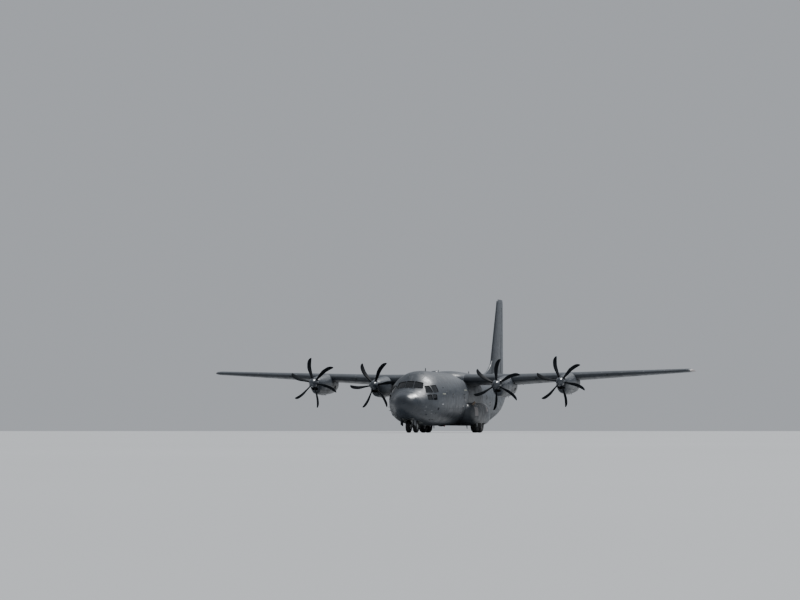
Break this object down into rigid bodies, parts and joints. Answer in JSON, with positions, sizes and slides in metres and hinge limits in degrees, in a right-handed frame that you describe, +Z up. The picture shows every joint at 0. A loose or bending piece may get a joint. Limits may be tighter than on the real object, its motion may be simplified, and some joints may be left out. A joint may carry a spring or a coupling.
{
  "type": "four-engined military transport plane, 1:2 scale model",
  "caption": "High-wing turboprop transport plane on its wheels, with turning propellers, steering nose wheel, control surfaces, crew door, loading ramp and cargo door.",
  "frame": {"origin": "middle of the bounding box, on the ground under the wheels", "axes": "+X to port along the wing, +Y aft (the nose points to -Y), +Z up"},
  "size_m": [20.205, 17.185, 5.905],
  "materials": {
    "grey_paint": "satin blue-grey paint",
    "nose_paint": "satin grey radome paint",
    "window_glass": "dark clear glass",
    "floor_metal": "worn bare metal",
    "panel_black": "matt black",
    "seat_fabric": "woven cover",
    "blade_black": "matt near-black blades",
    "tyre_rubber": "matt rubber",
    "hub_paint": "satin light grey",
    "gear_steel": "gloss light grey"
  },
  "bodies": {
    "root": {"radome": "nose_paint", "nose_fuselage": "grey_paint", "flight_deck_glazing": "window_glass", "forward_fuselage": "grey_paint", "centre_fuselage": "grey_paint", "paratroop_door_port": "grey_paint", "paratroop_door_starboard": "grey_paint", "tail_fuselage": "grey_paint", "cargo_floor": "floor_metal", "flight_deck_floor": "floor_metal", "instrument_panel": "panel_black", "pilot_seat_port": "seat_fabric", "pilot_seat_starboard": "seat_fabric", "wing_root_fairing": "grey_paint", "wing_centre": "grey_paint", "wing_outer_port": "grey_paint", "wing_outer_starboard": "grey_paint", "tailplane": "grey_paint", "fin": "grey_paint", "sponson_port": "grey_paint", "sponson_starboard": "grey_paint", "nacelle_inboard_port": "grey_paint", "nacelle_inboard_starboard": "grey_paint", "nacelle_outboard_port": "grey_paint", "nacelle_outboard_starboard": "grey_paint", "main_gear_port": "gear_steel", "main_gear_starboard": "gear_steel", "nose_leg": "gear_steel", "nose_gear_door_port": "grey_paint", "nose_gear_door_starboard": "grey_paint"},
    "crew_door": {"crew_door": "grey_paint"},
    "cargo_ramp": {"cargo_ramp": "grey_paint"},
    "cargo_door": {"cargo_door": "grey_paint"},
    "flap_inboard_port": {"flap_inboard_port": "grey_paint"},
    "flap_inboard_starboard": {"flap_inboard_starboard": "grey_paint"},
    "flap_outboard_port": {"flap_outboard_port": "grey_paint"},
    "flap_outboard_starboard": {"flap_outboard_starboard": "grey_paint"},
    "aileron_port": {"aileron_port": "grey_paint"},
    "aileron_starboard": {"aileron_starboard": "grey_paint"},
    "elevator_port": {"elevator_port": "grey_paint"},
    "elevator_starboard": {"elevator_starboard": "grey_paint"},
    "rudder": {"rudder": "grey_paint"},
    "propeller_inboard_port": {"propeller_inboard_port": "blade_black"},
    "propeller_inboard_starboard": {"propeller_inboard_starboard": "blade_black"},
    "propeller_outboard_port": {"propeller_outboard_port": "blade_black"},
    "propeller_outboard_starboard": {"propeller_outboard_starboard": "blade_black"},
    "main_wheel_front_port": {"main_tyre_front_port": "tyre_rubber", "main_hub_front_port": "hub_paint"},
    "main_wheel_front_starboard": {"main_tyre_front_starboard": "tyre_rubber", "main_hub_front_starboard": "hub_paint"},
    "main_wheel_rear_port": {"main_tyre_rear_port": "tyre_rubber", "main_hub_rear_port": "hub_paint"},
    "main_wheel_rear_starboard": {"main_tyre_rear_starboard": "tyre_rubber", "main_hub_rear_starboard": "hub_paint"},
    "nose_steering": {"nose_steering_leg": "gear_steel"},
    "nose_wheels": {"nose_tyre_port": "tyre_rubber", "nose_tyre_starboard": "tyre_rubber", "nose_hubs": "hub_paint"}
  },
  "joints": [
    {"name": "crew_door_hinge", "type": "hinge", "parent": "root", "child": "crew_door", "pos_m": [0.695, -6.7775, 0.5107], "axis": [0.225, 0.9744, 0], "range_deg": [0, 105]},
    {"name": "ramp_hinge", "type": "hinge", "parent": "root", "child": "cargo_ramp", "pos_m": [0, 2.3175, 0.31], "axis": [-1, 0, 0], "range_deg": [0, 23]},
    {"name": "cargo_door_hinge", "type": "hinge", "parent": "root", "child": "cargo_door", "pos_m": [0, 6.275, 1.83], "axis": [-1, 0, 0], "range_deg": [0, 25]},
    {"name": "flap_inboard_port_hinge", "type": "hinge", "parent": "root", "child": "flap_inboard_port", "pos_m": [1.9925, -0.1369, 1.81793], "axis": [-1, 0, 0], "range_deg": [0, 36]},
    {"name": "flap_inboard_starboard_hinge", "type": "hinge", "parent": "root", "child": "flap_inboard_starboard", "pos_m": [-1.9925, -0.1369, 1.81793], "axis": [-1, 0, 0], "range_deg": [0, 36]},
    {"name": "flap_outboard_port_hinge", "type": "hinge", "parent": "root", "child": "flap_outboard_port", "pos_m": [4.4875, -0.25811, 1.82104], "axis": [-1, 0, 0], "range_deg": [0, 36]},
    {"name": "flap_outboard_starboard_hinge", "type": "hinge", "parent": "root", "child": "flap_outboard_starboard", "pos_m": [-4.4875, -0.25811, 1.82104], "axis": [-1, 0, 0], "range_deg": [0, 36]},
    {"name": "aileron_port_hinge", "type": "hinge", "parent": "root", "child": "aileron_port", "pos_m": [6.225, -0.36423, 2.30338], "axis": [0.996, -0.0732, 0.0503], "range_deg": [-15, 25]},
    {"name": "aileron_starboard_hinge", "type": "hinge", "parent": "root", "child": "aileron_starboard", "pos_m": [-6.225, -0.36423, 2.30338], "axis": [0.996, 0.0732, -0.0503], "range_deg": [-15, 25]},
    {"name": "elevator_port_hinge", "type": "hinge", "parent": "root", "child": "elevator_port", "pos_m": [0.375, 7.3325, 2.46], "axis": [1, 0, 0], "range_deg": [-15, 40]},
    {"name": "elevator_starboard_hinge", "type": "hinge", "parent": "root", "child": "elevator_starboard", "pos_m": [-0.375, 7.3325, 2.46], "axis": [1, 0, 0], "range_deg": [-15, 40]},
    {"name": "rudder_hinge", "type": "hinge", "parent": "root", "child": "rudder", "pos_m": [0, 7.5825, 2.66], "axis": [0, 0.1371, 0.9906], "range_deg": [-35, 35]},
    {"name": "propeller_inboard_port_spin", "type": "hinge", "parent": "root", "child": "propeller_inboard_port", "pos_m": [2.55, -3.5925, 1.925], "axis": [0, 1, 0], "continuous": true},
    {"name": "propeller_inboard_starboard_spin", "type": "hinge", "parent": "root", "child": "propeller_inboard_starboard", "pos_m": [-2.55, -3.5925, 1.925], "axis": [0, 1, 0], "continuous": true},
    {"name": "propeller_outboard_port_spin", "type": "hinge", "parent": "root", "child": "propeller_outboard_port", "pos_m": [5.15, -3.4925, 2.035], "axis": [0, 1, 0], "continuous": true},
    {"name": "propeller_outboard_starboard_spin", "type": "hinge", "parent": "root", "child": "propeller_outboard_starboard", "pos_m": [-5.15, -3.4925, 2.035], "axis": [0, 1, 0], "continuous": true},
    {"name": "main_wheel_front_port_spin", "type": "hinge", "parent": "root", "child": "main_wheel_front_port", "pos_m": [1.095, -1.2925, 0.355], "axis": [1, 0, 0], "continuous": true},
    {"name": "main_wheel_front_starboard_spin", "type": "hinge", "parent": "root", "child": "main_wheel_front_starboard", "pos_m": [-1.095, -1.2925, 0.355], "axis": [1, 0, 0], "continuous": true},
    {"name": "main_wheel_rear_port_spin", "type": "hinge", "parent": "root", "child": "main_wheel_rear_port", "pos_m": [1.095, -0.5325, 0.355], "axis": [1, 0, 0], "continuous": true},
    {"name": "main_wheel_rear_starboard_spin", "type": "hinge", "parent": "root", "child": "main_wheel_rear_starboard", "pos_m": [-1.095, -0.5325, 0.355], "axis": [1, 0, 0], "continuous": true},
    {"name": "nose_steering_turn", "type": "hinge", "parent": "root", "child": "nose_steering", "pos_m": [0, -7.0675, 0.5], "axis": [0, 0, 1], "range_deg": [-60, 60]},
    {"name": "nose_wheels_spin", "type": "hinge", "parent": "nose_steering", "child": "nose_wheels", "pos_m": [0, -7.0675, 0.2475], "axis": [1, 0, 0], "continuous": true}
  ],
  "couplings": [
    {"joint": "flap_inboard_starboard_hinge", "follows": "flap_inboard_port_hinge", "ratio": 1},
    {"joint": "flap_outboard_port_hinge", "follows": "flap_inboard_port_hinge", "ratio": 1},
    {"joint": "flap_outboard_starboard_hinge", "follows": "flap_inboard_port_hinge", "ratio": 1},
    {"joint": "elevator_starboard_hinge", "follows": "elevator_port_hinge", "ratio": 1}
  ]
}
